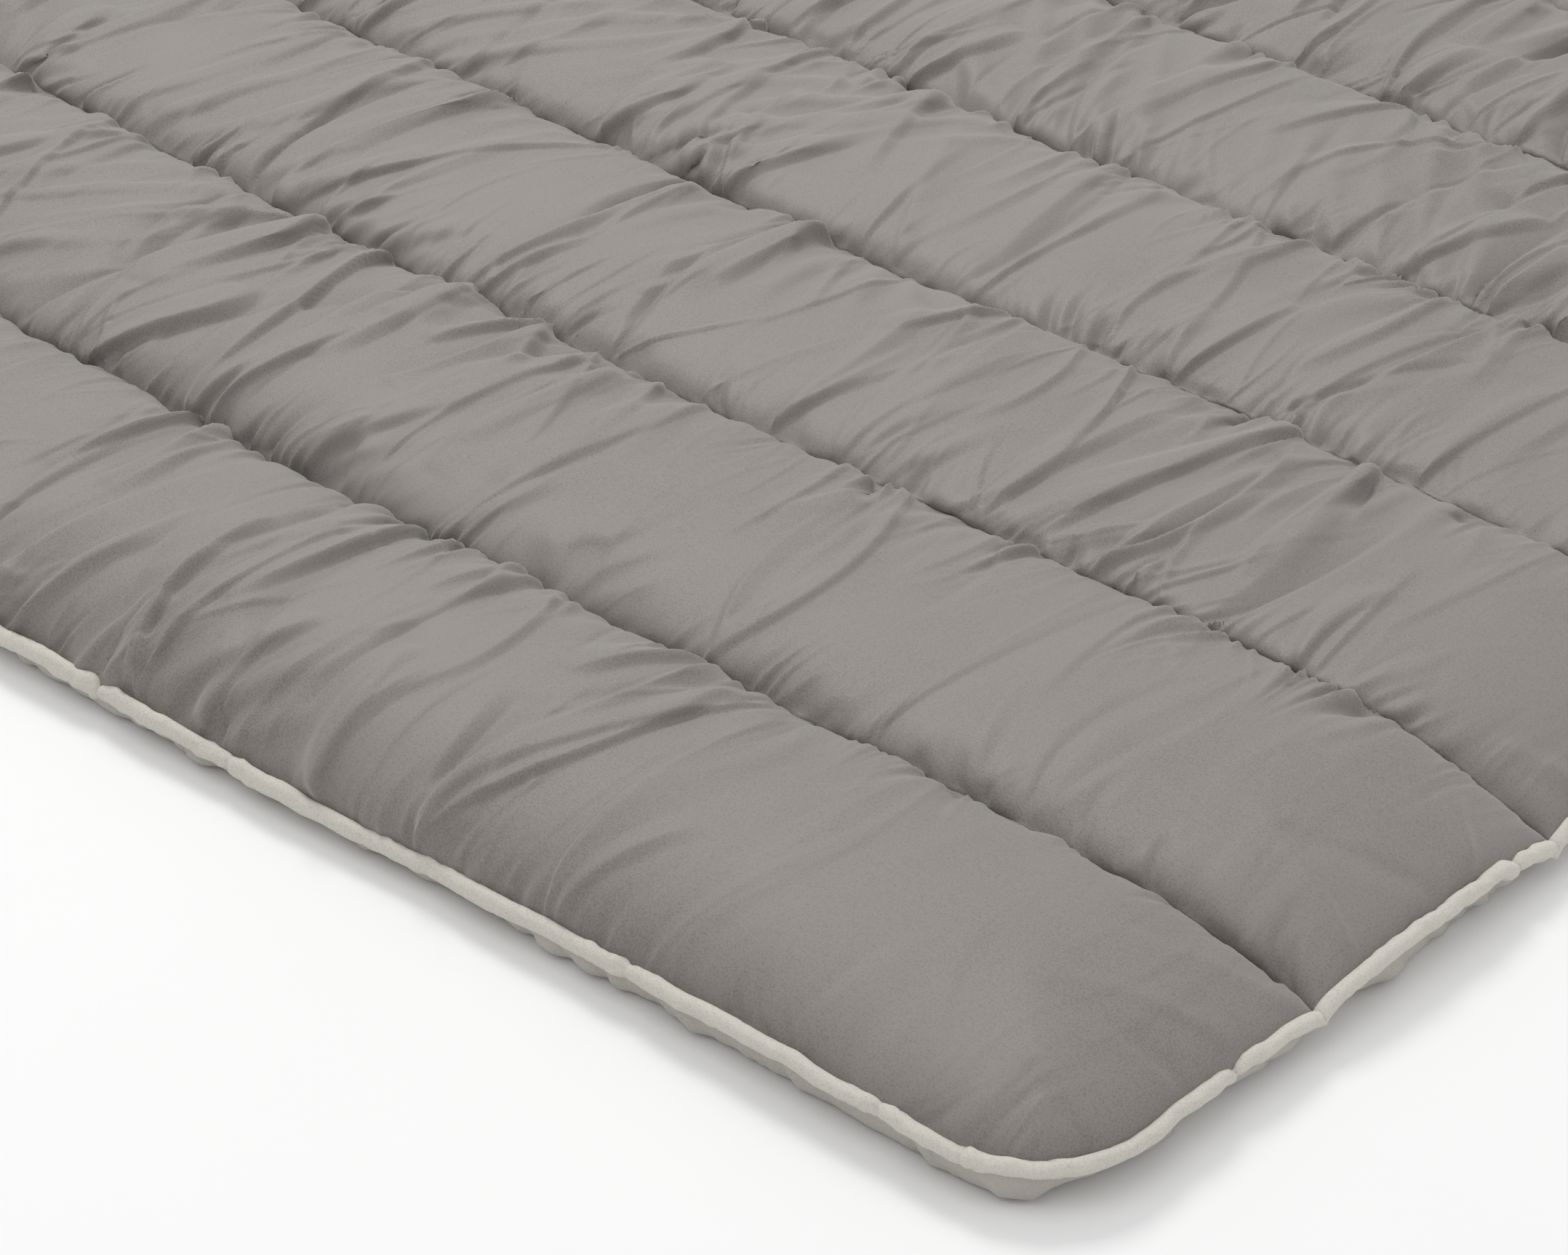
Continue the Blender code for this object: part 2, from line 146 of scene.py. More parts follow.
# Solving the cloth of one channel, from a coarse grid to a fine one
Level = namedtuple("Level", "along across rounds bending pull")
LEVELS = (
    Level(along=280, across=22, rounds=240, bending=0.008, pull=0.0100),
    Level(along=560, across=40, rounds=180, bending=0.012, pull=0.0040),
    Level(along=960, across=60, rounds=140, bending=0.010, pull=0.0020),
)
STRETCH_SHARE = 0.9  # of a spring's error that one pass takes away
DIAGONAL_SHARE = 0.3  # the same for the diagonals, which keep the cloth from shearing
SIDE_PULL = 0.3  # pull of the filling sideways, over its pull up and down
EXCESS = 0.012  # cloth along a channel, over the channel's length
SLANT = 0.03  # how far the cover is drawn sideways between two seams, over the distance across
SLANT_CHANGE = 0.14  # how much that changes along a channel
GATHER = 0.0055  # how unevenly it is gathered along a seam
FIRST_FOLD = 0.003  # height of the faint folds that the solving starts from
FIRST_LEAN = 0.15  # how far they lean along the channel, over the distance across
VALLEYS_HELD = 0.65  # share of their depth by which the filling holds up the valleys between folds
EVENING = 7  # rounds that even out ripples finer than the folds
PROFILE_POINTS = (4001, 2001)  # of the profiles that space the cloth's points, along the channel and across
FINE_POINTS = (1190, 74)  # of the finished cloth, along the channel and across it

# Sharp folds: height, gaps between pinches, reach over the channel's width, widths of the broad side
# and of the steep side, and spread of the lean
Folds = namedtuple("Folds", "height gaps reach broad steep lean")
FOLDS = (
    Folds(0.0115, (0.035, 0.130), (0.50, 1.15), broad=(0.014, 0.044), steep=(0.0045, 0.0140), lean=0.40),
    Folds(0.0026, (0.016, 0.080), (0.15, 0.70), broad=(0.005, 0.014), steep=(0.0022, 0.0040), lean=0.45),
)
FAN_REACH = 0.22  # how far along the channel the folds from one pinch can go
PINCH_SPREAD = 0.007  # how far from a pinch its folds start
CREASE_ROUND = 0.030  # how rounded the crest of a fold is, over its width
FOLD_LIMIT = 0.014  # height over the cover that no fold passes
BACK_CALM = 0.6  # share of their height that the folds lose at the back edge
BACK_CALM_REACH = 0.15  # distance from that edge over which they lose it
FOLD_ROOM = 0.0002  # left between each half and the middle plane when folded
HIGHEST_FOLD = 0.0070  # above the crown of the channels, where the halves leave more room than that
PLEAT = 0.0036  # height of the small pleats beside a seam
PLEAT_REACH = 0.024  # how far they run from it
TUCK = 0.0034  # height of the tucks at a channel's two ends
TUCK_GAPS = (0.018, 0.075)  # between one tuck and the next
TUCK_REACH = (0.035, 0.110)  # how far they run in from the end
TUCK_SIDES = ((0.008, 0.011), (0.014, 0.030))  # widths of a tuck's steep side and of its broad one

# Seeds of the random numbers: SEED for the cover and its seams, and the others by name
SEED = 41
PIPING_SEED = 5
KINK_SEED = 12
CREASE_SEED = 20
RIM_SEED = 31
PUCKER_SEED = 77


# Smooth curves and random numbers

def smooth_step(low, high, value):
    """0 at low and before it, 1 at high and past it, and a smooth rise between them."""
    share = np.clip((value - low) / (high - low), 0, 1)
    return share * share * (3 - 2 * share)


def between(low, high, share):
    return low + (high - low) * share


def along_knots(knots, at):
    """The smooth curve through knots one apart, which starts again after the last one."""
    low = at.astype(int)
    share = at - low
    share = share * share * (3 - 2 * share)
    return knots[low % len(knots)] * (1 - share) + knots[(low + 1) % len(knots)] * share


def wander(places, scale, seed):
    """A smooth random curve over places, with about one swing for each scale."""
    rng = np.random.default_rng(seed)
    at = (places - places.min()) / scale + rng.uniform(0, 1)
    return along_knots(rng.normal(0, 1, int(at.max()) + 3), at)


def waves(places, seed, *kinds):
    """A sum of such curves, each given as its size and its scale, with seeds that follow on."""
    return sum(size * wander(places, scale, seed + order) for order, (size, scale) in enumerate(kinds))


def loop_wander(count, total, scale, seed):
    """A smooth random curve round a closed loop of that many points and that length."""
    knots = np.random.default_rng(seed).normal(0, 1, round(total / scale))
    return along_knots(knots, np.arange(count) / count * len(knots))


def loop_waves(count, total, seed, *kinds):
    """A sum of such curves, each given as its size and its scale, with seeds that follow on."""
    curve = 0
    for order, (size, scale) in enumerate(kinds):
        curve = curve + size * loop_wander(count, total, scale, seed + order)
    return curve


def blur(grid, along, across):
    """Gaussian blur of a grid, by that many cells each way, scaled back to a spread of 1."""
    fx = np.fft.fftfreq(grid.shape[0])[:, None] * along
    fy = np.fft.rfftfreq(grid.shape[1])[None] * across
    soft = np.fft.irfft2(np.fft.rfft2(grid) * np.exp(-2 * np.pi**2 * (fx**2 + fy**2)), s=grid.shape)
    return soft / soft.std()


def resample(grid, rows, columns):
    """The same grid with other numbers of points, by straight lines between its points."""
    a = np.linspace(0, grid.shape[0] - 1, rows)
    i = np.minimum(a.astype(int), grid.shape[0] - 2)
    share = (a - i)[:, None, None]
    tall = grid[i] * (1 - share) + grid[i + 1] * share
    b = np.linspace(0, grid.shape[1] - 1, columns)
    j = np.minimum(b.astype(int), grid.shape[1] - 2)
    share = (b - j)[None, :, None]
    return tall[:, j] * (1 - share) + tall[:, j + 1] * share


# The blanket's shape, as functions of place

def from_ends(x):
    """How far a point is from the nearer end."""
    return HALF_LENGTH - np.abs(x)


def depth_inside(x, y):
    """How far a point is inside the rounded outline."""
    past_x = np.abs(x) - (HALF_LENGTH - CORNER_RADIUS)
    past_y = np.abs(y) - (HALF_WIDTH - CORNER_RADIUS)
    corner = np.hypot(np.maximum(past_x, 0), np.maximum(past_y, 0))
    return CORNER_RADIUS - corner - np.minimum(np.maximum(past_x, past_y), 0)


def dome(y):
    """0 at a quilting seam and 1 at the middle of a channel; the outer half of an end channel stays 1."""
    across = np.abs((y / PITCH) % 1 - 0.5) * 2
    round_top = (1 - np.minimum(across, 1) ** DOME_POWER) ** (1 / DOME_POWER)
    return np.where(np.abs(y) > (CHANNELS - 1) / 2 * PITCH, 1.0, round_top)


def rounding(depth, x):
    """0 at the edge, rising in a quarter ellipse to 1."""
    reach = between(SIDE_ROUNDING, END_ROUNDING, smooth_step(*ROUNDING_CHANGE, from_ends(x)))
    left = 1 - np.clip(depth / reach, 0, 1)
    return np.sqrt(1 - left * left)


def edge_rise(x, y):
    """How far the piping is above the valleys, with each channel at its fullest."""
    side = between(CORNER_EDGE_Z, SIDE_EDGE_Z, smooth_step(*SIDE_REACH, from_ends(x)))
    return np.where(np.abs(y) > OUTERMOST_SEAM, side, END_EDGE_Z) - VALLEY_Z


def edge_z(x, y):
    """Height of the middle of the piping."""
    rise = edge_rise(x, y)
    return VALLEY_Z + rise * np.where(rise < 0, 1, dome(y))


def seam_z(x, y):
    """Height of the seams, as if there were one at every y."""
    from_end = from_ends(x)
    lift = SEAM_LIFT + INNER_LIFT * smooth_step(OUTERMOST_SEAM, OUTERMOST_SEAM - PITCH, np.abs(y))
    lift = lift + END_LIFT * smooth_step(*END_LIFT_REACH, from_end)
    return VALLEY_Z + lift * smooth_step(*SEAM_DESCENT, from_end)


def cover_z(x, y):
    """Height of the cover before it wrinkles."""
    edge = VALLEY_Z + edge_rise(x, y)
    top = between(edge, CROWN_Z, rounding(depth_inside(x, y) - COVER_INSET, x))
    return between(seam_z(x, y), top, dome(y))


def bow(points):
    """Points with the long sides bowed outwards."""
    x, y = points[..., 0], points[..., 1]
    shape = smooth_step(*BOW_REACH, from_ends(x)) * smooth_step(BOW_START, HALF_WIDTH, np.abs(y))
    moved = points.copy()
    moved[..., 1] = y + BOW * shape * np.sign(y)
    return moved


def round_corner(x, y, inset):
    """Moves points of the inset rectangle onto the inset outline, whose corners are round."""
    past_x = np.abs(x) - (HALF_LENGTH - CORNER_RADIUS)
    past_y = np.abs(y) - (HALF_WIDTH - CORNER_RADIUS)
    in_corner = (past_x > 0) & (past_y > 0) & (inset < CORNER_RADIUS)
    shrink = np.maximum(past_x, past_y) / np.maximum(np.hypot(past_x, past_y), 1e-9)
    near_x = np.sign(x) * (HALF_LENGTH - CORNER_RADIUS + past_x * shrink)
    near_y = np.sign(y) * (HALF_WIDTH - CORNER_RADIUS + past_y * shrink)
    return np.where(in_corner, near_x, x), np.where(in_corner, near_y, y)


def by_arc(places, heights, count):
    """Places that are evenly spaced along a profile."""
    arc = np.concatenate([[0], np.cumsum(np.hypot(np.diff(places), np.diff(heights)))])
    return np.interp(np.linspace(0, arc[-1], count), arc, places)


def fade(x, y):
    """How wrinkled the cover is: nearly smooth at the right end, and most of all at the back."""
    back = smooth_step(0, BACK_REACH, y + HALF_WIDTH)
    started = smooth_step(between(*WRINKLES_START, back), between(*WRINKLES_FULL, back), HALF_LENGTH - x)
    return between(SMOOTHEST, between(*WRINKLED, back), started)


# Cloth of the filled channels

def seam_y(number):
    """Y of a quilting seam, numbered from 1 at the front."""
    return (number - CHANNELS / 2) * PITCH


def channel_edges(number):
    """Y of the two edges of a channel's cover."""
    low = COVER_INSET - HALF_WIDTH if number == 1 else seam_y(number - 1)
    high = HALF_WIDTH - COVER_INSET if number == CHANNELS else seam_y(number)
    return low, high


def seam_wander(x, seam):
    """Sideways and upward irregularity of a seam."""
    quiet = smooth_step(0, 0.03, from_ends(x))
    seed = SEED + 10 * seam
    side = waves(x, seed, (0.0012, 0.045), (0.0005, 0.011))
    up = 0.0007 * wander(x, 0.013, seed + 2)
    return side * quiet, up * quiet


def channel_base(number, rows, columns):
    """Points of a filled channel before it wrinkles."""
    low, high = channel_edges(number)
    count_along, count_across = PROFILE_POINTS
    ends = np.linspace(-HALF_LENGTH + COVER_INSET, HALF_LENGTH - COVER_INSET, count_along)
    x = by_arc(ends, cover_z(ends, (low + high) / 2), rows)
    sides = np.linspace(low, high, count_across)
    y = by_arc(sides, cover_z(0.0, sides), columns)
    grid_x, grid_y = np.meshgrid(x, y, indexing="ij")
    grid_x, grid_y = round_corner(grid_x, grid_y, COVER_INSET)
    base = np.stack([grid_x, grid_y, cover_z(grid_x, grid_y)], -1)
    for column, seam in ((0, number - 1), (-1, number)):
        if 0 < seam < CHANNELS:
            side, up = seam_wander(x, seam)
            base[:, column, 1] = seam_y(seam) + side
            base[:, column, 2] = seam_z(x, seam_y(seam)) + up
    return base.astype(np.float32)


def cloth_cut(number, base):
    """How the channel's cloth is cut: the excess along it, and how far each point is drawn along X."""
    x = base[:, base.shape[1] // 2, 0]
    y = float(base[0, base.shape[1] // 2, 1])
    seed = SEED + 100 * number
    strength = fade(x, y)
    swell = 1 + waves(x, seed, (0.6, 0.17), (0.35, 0.05))
    excess = EXCESS * strength * np.clip(swell, 0.1, 2.4)
    slant = SLANT + SLANT_CHANGE * waves(x, seed + 2, (0.8, 0.24), (0.3, 0.07))
    low = GATHER * waves(x, seed + 4, (1, 0.06), (0.4, 0.022))
    high = GATHER * waves(x, seed + 6, (1, 0.06), (0.4, 0.022))
    across = np.linspace(0, 1, base.shape[1])[None]
    drawn = -slant[:, None] * PITCH * (across - 0.5)
    drawn = drawn + low[:, None] * (1 - across) ** 2 + high[:, None] * across**2
    return excess, drawn * strength[:, None], strength


def lengths(spans):
    return np.sqrt(np.einsum("ijk,ijk->ij", spans, spans))


def rest_lengths(base, excess, drawn):
    """Lengths of the cloth's springs when it is flat: along, across and over both diagonals of each cell."""
    along = lengths(base[1:] - base[:-1])
    across = lengths(base[:, 1:] - base[:, :-1])
    cut = along * (1 + (excess[1:] + excess[:-1]) / 2)[:, None]
    cell_cut = (cut[:, 1:] + cut[:, :-1]) / 2
    cell_along = (along[:, 1:] + along[:, :-1]) / 2
    cell_across = (across[1:] + across[:-1]) / 2
    rest = {
        "along": np.abs(cut + drawn[1:] - drawn[:-1]),
        "across": np.hypot(across, drawn[:, 1:] - drawn[:, :-1]),
    }
    for name, spans, shift in (
        ("rising", base[1:, 1:] - base[:-1, :-1], drawn[1:, 1:] - drawn[:-1, :-1]),
        ("falling", base[1:, :-1] - base[:-1, 1:], drawn[1:, :-1] - drawn[:-1, 1:]),
    ):
        skew = lengths(spans) ** 2 - cell_along**2 - cell_across**2
        square = (cell_cut + shift) ** 2 + cell_across**2 + skew
        rest[name] = np.sqrt(np.maximum(square, cell_across**2 / 4))
    return rest


def springs(base, excess, drawn, free):
    """Groups of springs that share no point: both ends as slices, rest lengths, and each end's share."""
    rest = rest_lengths(base, excess, drawn)
    rows, columns = base.shape[0] - 1, base.shape[1] - 1
    whole = slice(None)
    groups = []

    def add(name, a, b, share):
        cells = (a[0], whole) if name in ("rising", "falling") else a
        length = rest[name][cells][..., None].astype(np.float32)
        total = np.maximum(free[a] + free[b], 1)
        groups.append((a, b, length, free[a] * share / total, free[b] * share / total))

    for odd in (0, 1):
        low_x = slice(odd, rows, 2)
        high_x = slice(odd + 1, rows + 1, 2)
        low_y = slice(odd, columns, 2)
        high_y = slice(odd + 1, columns + 1, 2)
        add("along", (low_x, whole), (high_x, whole), STRETCH_SHARE)
        add("across", (whole, low_y), (whole, high_y), STRETCH_SHARE)
        add("rising", (low_x, slice(0, -1)), (high_x, slice(1, None)), DIAGONAL_SHARE)
        add("falling", (low_x, slice(1, None)), (high_x, slice(0, -1)), DIAGONAL_SHARE)
    return groups


def bend(cloth, free, bending):
    """Evens out how the cloth curves, along its rows and across them."""
    curve = np.zeros_like(cloth)
    curve[1:-1] = cloth[:-2] - 2 * cloth[1:-1] + cloth[2:]
    cloth[1:-1] -= bending * (curve[:-2] - 2 * curve[1:-1] + curve[2:]) * free[1:-1]
    curve = np.zeros_like(cloth)
    curve[:, 1:-1] = cloth[:, :-2] - 2 * cloth[:, 1:-1] + cloth[:, 2:]
    step = curve[:, :-2] - 2 * curve[:, 1:-1] + curve[:, 2:]
    cloth[:, 1:-1] -= bending * step * free[:, 1:-1]


def settle(cloth, base, free, groups, level):
    """Moves the cloth until its springs have their lengths, over a filling that pulls it to base."""
    for _ in range(level.rounds):
        for a, b, rest, share_a, share_b in groups:
            span = cloth[b] - cloth[a]
            span *= 1 - rest / np.maximum(lengths(span)[..., None], 1e-6)
            cloth[a] += span * share_a
            cloth[b] -= span * share_b
        bend(cloth, free, level.bending)
        cloth[..., 2:] += level.pull * (base[..., 2:] - cloth[..., 2:]) * free
        cloth[..., 1:2] += SIDE_PULL * level.pull * (base[..., 1:2] - cloth[..., 1:2]) * free


def first_folds(base, strength, seed):
    """Faint slanted folds, which the cloth turns into its wrinkles."""
    rng = np.random.default_rng(seed)
    rows, columns = base.shape[:2]
    folds = blur(rng.normal(0, 1, (rows, columns)), 1.4, 6)
    across = np.linspace(-0.5, 0.5, columns)
    cell = LENGTH / rows
    for column in range(columns):
        folds[:, column] = np.roll(folds[:, column], round(across[column] * PITCH * FIRST_LEAN / cell))
    return FIRST_FOLD * folds * strength[:, None] * np.cos(np.pi * across) ** 0.7


def even_out(cloth):
    """Takes the finest ripples out of the solved cloth, along the channel."""
    for _ in range(EVENING):
        cloth[1:-1, 1:-1] = cloth[1:-1, 1:-1] / 2 + (cloth[:-2, 1:-1] + cloth[2:, 1:-1]) / 4


def solve_cloth(number):
    """The channel's cover, wrinkled over its filling by the excess of its cloth."""
    cloth = None
    for level in LEVELS:
        base = channel_base(number, level.along + 1, level.across + 1)
        excess, drawn, strength = cloth_cut(number, base)
        if cloth is None:
            cloth = base.copy()
            cloth[..., 2] += first_folds(base, strength, SEED + number)
        else:
            cloth = resample(cloth, level.along + 1, level.across + 1).astype(np.float32)
        free = np.ones((*base.shape[:2], 1), np.float32)
        free[:, 0] = free[:, -1] = free[0] = free[-1] = 0
        cloth[:, 0], cloth[:, -1], cloth[0], cloth[-1] = base[:, 0], base[:, -1], base[0], base[-1]
        settle(cloth, base, free, springs(base, excess, drawn, free), level)
    even_out(cloth)
    cloth[..., 2] -= VALLEYS_HELD * np.minimum(cloth[..., 2] - base[..., 2], 0)
    return resample(cloth, *FINE_POINTS)


# Sharp folds, tucks and pleats

def normals(grid):
    """The upward normal at each point of a grid."""
    across = np.cross(np.gradient(grid, axis=0), np.gradient(grid, axis=1))
    return across / np.maximum(np.linalg.norm(across, axis=-1, keepdims=True), 1e-9)


def distances(cloth):
    """How far each column of the cloth is from its two edges, over the cloth."""
    steps = np.linalg.norm(np.diff(cloth, axis=1), axis=-1).mean(0)
    from_low = np.concatenate([[0], np.cumsum(steps)])
    return from_low, from_low[-1] - from_low


def ridge(off, left, right):
    """1 on a crease line, and a flat slope down to its foot on each side of it."""
    share = np.where(off < 0, off / left, off / right)
    return np.clip(1 + CREASE_ROUND - np.sqrt(share * share + CREASE_ROUND**2), 0, 1) ** 1.25


def fan(rng, kind, pinch, away, lean, x):
    """Heights of the folds that start at one pinch in a seam and spread out from it."""
    height = 0
    for order in range(rng.integers(1, 4)):
        start = pinch + rng.normal(0, PINCH_SPREAD)
        reach = away.max() * rng.uniform(*kind.reach) * (1 if order == 0 else 0.7)
        lean_start = rng.normal(-0.02, kind.lean)
        lean_end = rng.normal(0.12, kind.lean * 0.6)
        sides = [rng.uniform(*kind.broad), rng.uniform(*kind.steep)]
        if rng.random() < 0.35:
            sides.reverse()
        size = rng.choice((1, -0.8), p=(0.75, 0.25)) * rng.uniform(0.4, 1)
        share = np.clip(away / reach, 0, 1)
        centre = start + lean * away * (lean_start + (lean_end - lean_start) * share / 2)
        spread = 0.3 + 0.7 * share
        along = share**0.4 * (1 - share) ** 0.7 * 1.6
        height = height + size * along * ridge(x - centre, sides[0] * spread, sides[1] * spread)
    return height


def fold_heights(rng, x, from_low, from_high):
    """Heights of all the sharp folds of a channel, where the cover is fully wrinkled."""
    height = np.zeros(x.shape)
    for kind in FOLDS:
        layer = np.zeros(x.shape)
        for away, lean in ((from_low, 1), (from_high, -1)):
            pinch = -HALF_LENGTH + 0.03
            while pinch < HALF_LENGTH - 0.05:
                near = np.abs(x[:, 0] - pinch) < FAN_REACH
                layer[near] += fan(rng, kind, pinch, away[None], lean, x[near])
                pinch += rng.uniform(*kind.gaps)
        height += kind.height * (layer - np.maximum(layer - 0.6, 0) * 0.6)
    return height


def add_creases(cloth, number):
    """Sharp folds, long and short, that fan out from pinches in both seams of a channel."""
    rng = np.random.default_rng(SEED + 7 * number)
    x = cloth[..., 0].astype(float)
    from_low, from_high = distances(cloth)
    strength = fade(x[:, x.shape[1] // 2], float(cloth[0, cloth.shape[1] // 2, 1]))
    height = fold_heights(rng, x, from_low, from_high)
    change = np.clip(0.85 + 0.75 * wander(x[:, 0], 0.12, SEED + number), 0.45, 1.9)
    calm = 1 - BACK_CALM * smooth_step(HALF_WIDTH - BACK_CALM_REACH, HALF_WIDTH, cloth[..., 1])
    height = FOLD_LIMIT * np.tanh(height * (strength * change)[:, None] * calm / FOLD_LIMIT)
    held = np.minimum(1, np.minimum(from_low, from_high) / 0.010)[None] * smooth_step(0, 0.06, from_ends(x))
    return cloth + (height * held)[..., None] * normals(cloth)


def add_tucks(cloth, number):
    """Tucks where the cover is gathered into the piping at a channel's two ends."""
    rng = np.random.default_rng(SEED + 5000 + number)
    x, y = cloth[..., 0].astype(float), cloth[..., 1].astype(float)
    height = np.zeros(x.shape)
    steep, broad = TUCK_SIDES
    for end in (-1, 1):
        away = HALF_LENGTH - COVER_INSET - end * x
        place = y.min() + rng.uniform(0.01, 0.05)
        while place < y.max() - 0.01:
            share = np.clip(away / rng.uniform(*TUCK_REACH), 0, 1)
            lean = rng.normal(0, 0.45)
            sides = rng.permutation([rng.uniform(*steep), rng.uniform(*broad)])
            size = rng.choice((1, -0.8)) * rng.uniform(0.3, 1)
            spread = 0.7 + 0.3 * share
            along = np.minimum(share / 0.15, 1) * (1 - share) ** 0.8
            height += size * along * ridge(y - place - lean * away, sides[0] * spread, sides[1] * spread)
            place += rng.uniform(*TUCK_GAPS)
    held = np.minimum(1, np.minimum(*distances(cloth)) / 0.012)
    return cloth + (TUCK * height * held[None])[..., None] * normals(cloth)


def add_pleats(cloth, number):
    """Small pleats that the stitching leaves along both sides of a channel, in bunches."""
    x = cloth[:, cloth.shape[1] // 2, 0].astype(float)
    height = 0
    for side, away in enumerate(distances(cloth)):
        seed = SEED + 1000 * number + 100 * side
        reach = PLEAT_REACH * np.clip(1 + 0.5 * wander(x, 0.012, seed), 0.35, 2.2)
        bunch = 0.3 + np.clip(0.5 + 0.9 * wander(x, 0.03, seed + 3), 0, 1.8)
        share = away[None] / reach[:, None]
        drawn = x[:, None] + (0.4 * wander(x, 0.05, seed + 4))[:, None] * away[None]
        fine, coarse = np.abs(wander(drawn, 0.0085, seed + 1)), np.abs(wander(drawn, 0.019, seed + 2))
        shape = 1.3 - fine * 0.8 - coarse * 0.5
        held = 1 - np.exp(-away / 0.003)
        height = height + (bunch[:, None] * shape - 0.5) * held[None] * np.exp(-(share**2))
    quiet = smooth_step(0, 0.05, from_ends(x))[:, None]
    return cloth + (PLEAT * height * quiet)[..., None] * normals(cloth)


def press_peaks(cloth):
    """Presses down the highest folds, to the room that the halves leave each other when folded."""
    room = FOLD_Z - FOLD_ROOM - CROWN_Z + FOLD_OPENING / 2 * np.abs(cloth[..., 1])
    room = np.minimum(room, HIGHEST_FOLD)
    over = np.maximum(cloth[..., 2] - CROWN_Z, 0)
    cloth[..., 2] -= over - room * np.tanh(over / room)
    return cloth


def channel_cloth(number):
    """The finished cover of one channel, as a grid of points."""
    folded = add_tucks(add_creases(solve_cloth(number), number), number)
    return bow(press_peaks(add_pleats(folded, number)))


# Making objects

def add_object(name, mesh):
    obj = bpy.data.objects.new(name, mesh)
    bpy.context.scene.collection.objects.link(obj)
    return obj


def grid_mesh(name, points, closed=False):
    """A mesh over a grid of points; closed joins its last column to its first."""
    rows, columns = points.shape[:2]
    index = np.arange(rows * columns).reshape(rows, columns)
    if closed:
        index = np.concatenate([index, index[:, :1]], 1)
    quads = np.stack([index[:-1, :-1], index[1:, :-1], index[1:, 1:], index[:-1, 1:]], -1)
    mesh = bpy.data.meshes.new(name)
    mesh.vertices.add(rows * columns)
    mesh.vertices.foreach_set("co", points.astype(np.float32).ravel())
    quads = quads.reshape(-1, 4)
    mesh.loops.add(quads.size)
    mesh.loops.foreach_set("vertex_index", quads.astype(np.int32).ravel())
    mesh.polygons.add(len(quads))
    mesh.polygons.foreach_set("loop_start", np.arange(0, quads.size, 4, dtype=np.int32))
    mesh.update(calc_edges=True)
    mesh.validate()
    mesh.shade_smooth()
    return mesh


def bars_mesh(bars):
    """One mesh of many closed bars, given as bars, rings along each and points round each ring."""
    count, rings, sides = bars.shape[:3]
    index = np.arange(count * rings * sides).reshape(count, rings, sides)
    beside = np.roll(index, -1, 2)
    walls = np.stack([index[:, :-1], beside[:, :-1], beside[:, 1:], index[:, 1:]], -1).reshape(-1, sides)
    faces = np.concatenate([walls, index[:, 0, ::-1], index[:, -1]])
    mesh = bpy.data.meshes.new("bars")
    mesh.from_pydata(bars.reshape(-1, 3).tolist(), [], faces.tolist())
    mesh.update(calc_edges=True)
    mesh.shade_smooth()
    return mesh


def channel_grid(cloth, number):
    """The cloth's grid with the channel's sides and underside added, as a closed loop of columns."""
    low, high = cloth[:, :1], cloth[:, -1:]
    under = []
    for share in PAD_COLUMNS:
        row = high * (1 - share) + low * share
        row[..., 0] *= 1 - PAD_INSET / HALF_LENGTH
        if number == 1:
            row[..., 1] = np.maximum(row[..., 1], low[..., 1] + PAD_INSET)
        if number == CHANNELS:
            row[..., 1] = np.minimum(row[..., 1], high[..., 1] - PAD_INSET)
        row[..., 2] = PAD_FLOOR
        under.append(row)
    return np.concatenate([cloth, *under], 1)


def close_ends(obj):
    bm = bmesh.new()
    bm.from_mesh(obj.data)
    bmesh.ops.holes_fill(bm, edges=[edge for edge in bm.edges if edge.is_boundary])
    bm.to_mesh(obj.data)
    bm.free()


def attach(obj, place=MIDDLE_PLACE):
    """Rides on its half of the blanket; one beside the fold is attached to neither half, and only its
    transform is baked into its points.
    """
    if abs(place - MIDDLE_PLACE) < 1:
        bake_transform(obj)
    else:
        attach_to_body(obj, "lower_half" if place < MIDDLE_PLACE else "upper_half")


# Materials

def principled(name, roughness):
    """A new node material, its nodes and links, and its shader node."""
    made = bpy.data.materials.new(name)
    made.use_nodes = True
    shader = made.node_tree.nodes["Principled BSDF"]
    shader.inputs["Roughness"].default_value = roughness
    return made, made.node_tree.nodes, made.node_tree.links, shader


def noise(nodes, links, place, scale, detail):
    """A noise texture; gives its output."""
    made = nodes.new("ShaderNodeTexNoise")
    made.inputs["Scale"].default_value = scale
    made.inputs["Detail"].default_value = detail
    links.new(place, made.inputs["Vector"])
    return made.outputs["Fac"]


def combine(nodes, links, operation, *values):
    """A maths node; each value is a number or the output of another node."""
    made = nodes.new("ShaderNodeMath")
    made.operation = operation
    for inlet, value in zip(made.inputs, values, strict=False):
        if isinstance(value, float):
            inlet.default_value = value
        else:
            links.new(value, inlet)
    return made.outputs[0]


def stretched(nodes, links, place, scale):
    """Places that are scaled differently along each axis."""
    made = nodes.new("ShaderNodeMapping")
    made.inputs["Scale"].default_value = scale
    links.new(place, made.inputs["Vector"])
    return made.outputs["Vector"]


def colour_by(nodes, links, shader, tone, dark, light, positions=(0, 1)):
    """Colours the shader from dark to light by tone, between two positions."""
    ramp = nodes.new("ShaderNodeValToRGB")
    for element, position, colour in zip(ramp.color_ramp.elements, positions, (dark, light), strict=True):
        element.position = position
        element.color = (*colour, 1)
    links.new(tone, ramp.inputs["Fac"])
    links.new(ramp.outputs["Color"], shader.inputs["Base Color"])


